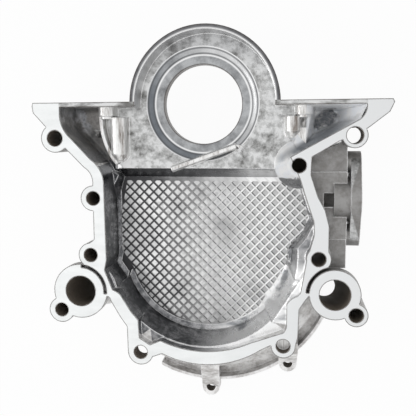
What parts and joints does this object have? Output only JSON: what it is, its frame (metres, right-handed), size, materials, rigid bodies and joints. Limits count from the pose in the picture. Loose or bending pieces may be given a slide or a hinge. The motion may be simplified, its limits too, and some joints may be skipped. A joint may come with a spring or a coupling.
{
  "type": "timing cover",
  "caption": "Cast aluminium engine timing cover seen from its block side, with crank seal hole, waffle-ribbed chain chamber, water ports and fuel pump pad.",
  "frame": {"origin": "on the crankshaft axis, in the plane of the machined block flange", "axes": "+Z out of the block flange towards the engine block, +Y towards the oil pan rail, +X towards the fuel pump pad"},
  "size_m": [0.2709, 0.3029, 0.056],
  "materials": {
    "cast_aluminium": "as-cast with machined faces"
  },
  "bodies": {
    "root": {"timing_cover": "cast_aluminium"}
  },
  "joints": []
}
